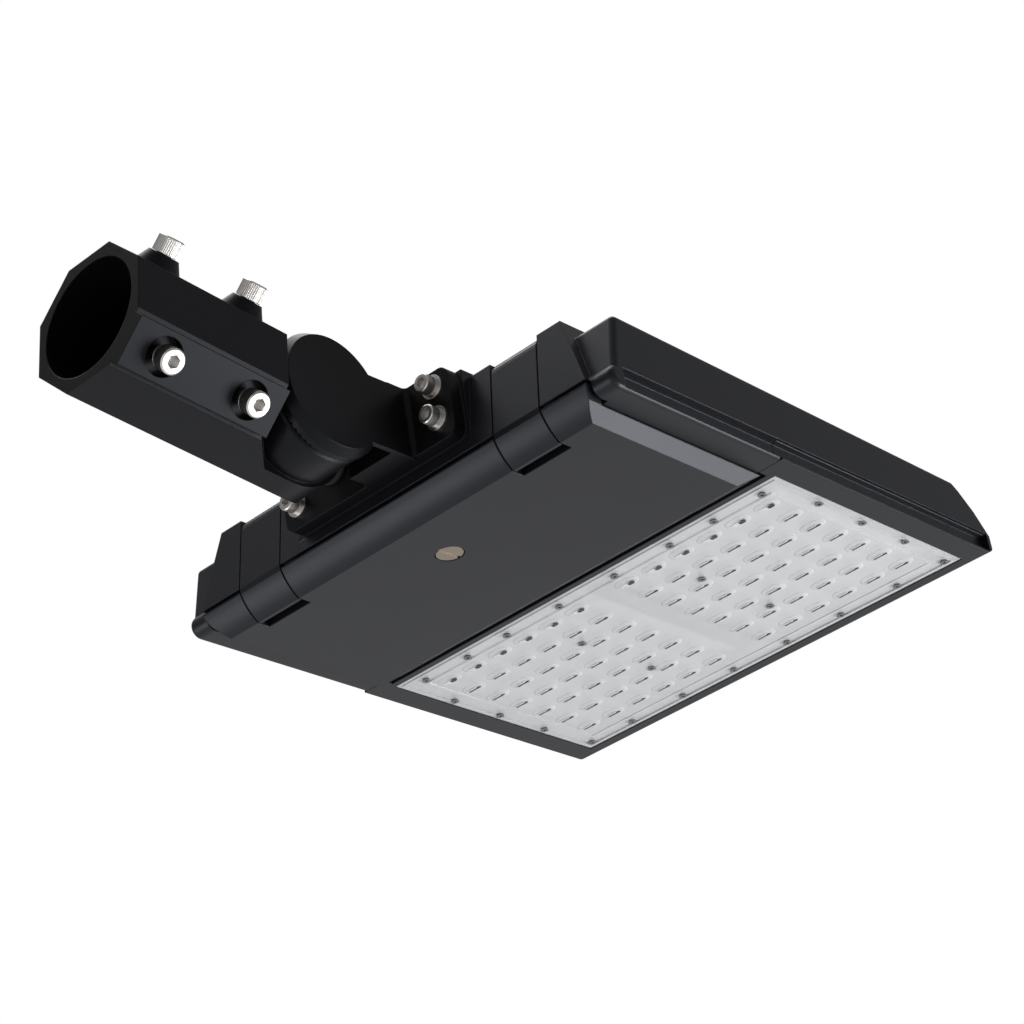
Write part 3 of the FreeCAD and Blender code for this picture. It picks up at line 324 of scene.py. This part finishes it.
def paintedMarkBars(kind, spots):
    # a slim rounded bar of painted shade (dark kinds) or painted highlight (bright kind), copied to each optic
    long, wide, along, across = paintedOpticMarks[kind]
    bpy.ops.mesh.primitive_cube_add(size=1)
    bar = bpy.context.object
    bar.scale = (wide, long, paintedMarkHigh)
    bar.location = (along, 0, paintedMarkDrop)
    bpy.ops.object.transform_apply(location=True, scale=True)
    edit(bar)
    bpy.ops.mesh.select_all(action="SELECT")
    bpy.ops.mesh.bevel(offset=wide * 0.4, segments=2)
    bpy.ops.object.mode_set(mode="OBJECT")
    return copies(bar, [spot + Vector((0, across, 0)) for spot in spots])


clear = clearLens("lensClear", (0.80, 0.82, 0.84), 0.30, 0.06)
opticClear = clearLens("lensOptic", (0.80, 0.82, 0.84), 0.24, 0.08)
# painted shade: dark grey for the bars standing in for the optics' dark refraction lines
paintedShadeFinish = moulded("paintedOpticShade", (0.02, 0.02, 0.022), (0.16, 0.16, 0.17), 0.35, 180.0)
# painted highlight: near-white for the bars standing in for the glint on each optic's ridge
paintedHighlightFinish = moulded("paintedOpticHighlight", (0.80, 0.81, 0.82), (0.92, 0.93, 0.94), 0.15, 1500.0)

plate = lensPlate()
plate.data.materials.append(clear)
bpy.ops.object.mode_set(mode="OBJECT")
dome = opticShape()
dome.data.materials.append(opticClear)
domes = copies(dome, ledPlaces)
plate = joined([plate] + domes)
plate.data.transform(headPlace)
done(plate, "lensPlateMoulded", clear, "head")
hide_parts("lens_plate")

# painted shade: the first row gets dark dots, the others dark bars
firstRow = [spot for spot in ledPlaces if spot.x < lens["firstRow"] + mm]
otherRows = [spot for spot in ledPlaces if spot.x > lens["firstRow"] + mm]
shade = joined(paintedMarkBars("paintedShadeBar", otherRows) + paintedMarkBars("paintedShadeDot", firstRow))
shade.data.transform(headPlace)
done(shade, "paintedOpticShadeBars", paintedShadeFinish, "head")
# painted highlight bar at every optic
glint = joined(paintedMarkBars("paintedHighlightBar", ledPlaces))
glint.data.transform(headPlace)
done(glint, "paintedOpticHighlightBars", paintedHighlightFinish, "head")
print("lens with", len(ledPlaces), "optics")


capScrews = {
    "tenonCapScrews": {"node": "tenon_screws", "body": "arm", "head": 6.5 * mm, "high": 8.0 * mm,
                       "hex": 6.0 * mm, "shank": 4.0 * mm, "length": 11.4 * mm, "knurls": 40},
    "flangeCapScrews": {"node": "flange_screws", "body": "head", "head": 5.0 * mm, "high": 6.0 * mm,
                        "hex": 5.0 * mm, "shank": 3.0 * mm, "length": 24.0 * mm, "knurls": 32}}
tenonRows = {"turns": (135, 45), "along": (20.8 * mm, 73.0 * mm), "out": 31.6 * mm}
flangeSpots = {"x": 71.8 * mm, "y": 50.8 * mm, "z": (-8.4 * mm, 9.6 * mm)}


def threadedShank(size):
    # a zigzag profile spun round the screw's axis, its root 0.9 of the shank
    pitch = size["shank"] * 0.3
    root = size["shank"] * 0.9
    end = size["length"] + 0.2 * mm
    points = [(0, 0, 0)]
    level = 0.0
    while level + pitch < size["length"]:
        points.append((root, 0, level))
        points.append((size["shank"], 0, level + pitch / 2))
        level += pitch
    points.append((root, 0, end))
    points.append((0, 0, end))
    mesh = bpy.data.meshes.new("shank")
    mesh.from_pydata(points, [(i, i + 1) for i in range(len(points) - 1)], [])
    shank = bpy.data.objects.new("shank", mesh)
    bpy.context.collection.objects.link(shank)
    edit(shank)
    bpy.ops.mesh.select_all(action="SELECT")
    bpy.ops.mesh.spin(steps=24, angle=math.tau, center=(0, 0, 0), axis=(0, 0, 1))
    bpy.ops.mesh.select_all(action="SELECT")
    bpy.ops.mesh.remove_doubles(threshold=0.01 * mm)
    bpy.ops.mesh.normals_make_consistent(inside=False)
    bpy.ops.object.mode_set(mode="OBJECT")
    return shank


def capScrew(size):
    # knurled head with a bevelled rim and a hexagon socket, on a threaded shank;
    # the rim rises by a tenth of the radius and the head is lowered by as much
    rise = size["head"] * 0.1
    bpy.ops.mesh.primitive_cylinder_add(vertices=size["knurls"], radius=size["head"], depth=size["high"],
                                        location=(0, 0, size["length"] + size["high"] / 2))
    cap = bpy.context.object
    bpy.ops.object.transform_apply(location=True)
    edit(cap)
    pick(cap, lambda centre, normal: abs(normal.z) < 0.1)
    bpy.ops.mesh.inset(thickness=size["head"] * 0.03, depth=-size["head"] * 0.03, use_individual=True)
    pick(cap, lambda centre, normal: normal.z > 0.9)
    bpy.ops.mesh.inset(thickness=size["head"] * 0.12)
    bpy.ops.transform.translate(value=(0, 0, rise))
    bpy.ops.object.mode_set(mode="OBJECT")
    bpy.ops.object.select_all(action="DESELECT")
    top = size["length"] + size["high"]
    bpy.ops.mesh.primitive_cylinder_add(vertices=6, radius=size["hex"] / math.sqrt(3), depth=size["high"],
                                        location=(0, 0, top + size["high"] * 0.05))
    socket = bpy.context.object
    hollow = cap.modifiers.new("socket", "BOOLEAN")
    hollow.operation = "DIFFERENCE"
    hollow.object = socket
    bpy.context.view_layer.objects.active = cap
    bpy.ops.object.modifier_apply(modifier=hollow.name)
    bpy.data.objects.remove(socket)
    cap.data.transform(Matrix.Translation((0, 0, -rise)))
    return joined([cap, threadedShank(size)])


for label, size in capScrews.items():
    pattern = capScrew(size)
    if size["body"] == "arm":
        places = [Matrix.Rotation(math.radians(turn), 4, "X") @ Matrix.Translation((along, 0, tenonRows["out"]))
                  for turn in tenonRows["turns"] for along in tenonRows["along"]]
    else:
        places = [headPlace @ Matrix.Translation((flangeSpots["x"], side * flangeSpots["y"], up))
                  @ Matrix.Rotation(math.radians(-90), 4, "Y") for side in (-1, 1) for up in flangeSpots["z"]]
    screws = joined(copies(pattern, places))
    done(screws, label, stainless, size["body"], 30.0)
    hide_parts(size["node"])
print("cap screws in place")


stage = {"floorLow": -1.5, "floorSize": 14.0, "worldLight": 0.24, "glossLevel": 0.08}


def seenDirectly(made, glossLevel=1.0):
    # 1 where the camera looks, straight or through glass, and a set level by way of gloss
    rays = made.node("ShaderNodeLightPath")
    camera = Value(made, rays.outputs["Is Camera Ray"])
    gloss = Value(made, rays.outputs["Is Glossy Ray"])
    through = Value(made, rays.outputs["Is Transmission Ray"])
    return camera.maths("MAXIMUM", camera, camera.maths("MAXIMUM", gloss * glossLevel, through))


def floorFinish():
    made = Finish("paleFloor")
    cloud = made.noise(3.0, 2.0)
    tone = made.blend(cloud, (0.86, 0.86, 0.86), (0.9, 0.9, 0.9))
    matte = made.node("ShaderNodeBsdfDiffuse", None, {"Color": tone})
    glow = made.node("ShaderNodeEmission", None, {"Color": (1, 1, 1, 1), "Strength": 1.0})
    mixed = made.node("ShaderNodeMixShader", None, {0: seenDirectly(made) * 0.72, 1: matte.outputs[0],
                                                    2: glow.outputs[0]})
    made.tree.links.new(mixed.outputs[0], made.output.inputs["Surface"])
    return made.material


bpy.ops.mesh.primitive_plane_add(size=stage["floorSize"], location=(0.25, 0, stage["floorLow"]))
floor = bpy.context.object
floor.name = "floor"
floor.data.materials.append(floorFinish())


class WorldFinish(Finish):
    # the world's nodes behind the same calls
    def __init__(self):
        world = bpy.data.worlds.new("studio")
        world.use_nodes = True
        bpy.context.scene.world = world
        self.tree = world.node_tree
        self.tree.nodes.clear()
        self.output = self.tree.nodes.new("ShaderNodeOutputWorld")


studio = WorldFinish()
level = seenDirectly(studio, stage["glossLevel"]) * (1 - stage["worldLight"]) + stage["worldLight"]
sky = studio.node("ShaderNodeBackground", None, {"Color": (1, 1, 1, 1), "Strength": level})
studio.tree.links.new(sky.outputs[0], studio.output.inputs["Surface"])

lamps = {
    "sideSoftbox": {"place": (1.43, -1.17, -0.77), "aim": (0.3, -0.1, -0.03), "size": 0.9, "power": 26.0},
    "rearSoftbox": {"place": (-0.95, 1.0, -0.85), "aim": (0.25, 0, 0), "size": 0.8, "power": 6.0},
    "topSoftbox": {"place": (0.2, 0.4, 1.8), "aim": (0.25, 0, 0), "size": 1.8, "power": 26.0}}
for label, lamp in lamps.items():
    data = bpy.data.lights.new(label, "AREA")
    data.size = lamp["size"]
    data.energy = lamp["power"]
    light = bpy.data.objects.new(label, data)
    light.location = lamp["place"]
    light.rotation_euler = (Vector(lamp["aim"]) - light.location).to_track_quat("-Z", "Y").to_euler()
    bpy.context.collection.objects.link(light)

# camera below and behind the head, fitted to the photograph
eye = {"place": (-0.667429, -0.833630, -0.812272), "turn": (123.17794, 4.04339, -46.20883), "lens": 100.26}
camera = bpy.data.objects.new("camera", bpy.data.cameras.new("camera"))
camera.location = eye["place"]
camera.rotation_euler = [math.radians(angle) for angle in eye["turn"]]
camera.data.sensor_width = 36.0
camera.data.lens = eye["lens"]
camera.data.clip_start = 0.01
bpy.context.collection.objects.link(camera)
bpy.context.scene.camera = camera
bpy.context.scene.view_settings.view_transform = "Standard"
print("stage, lamps and camera set")
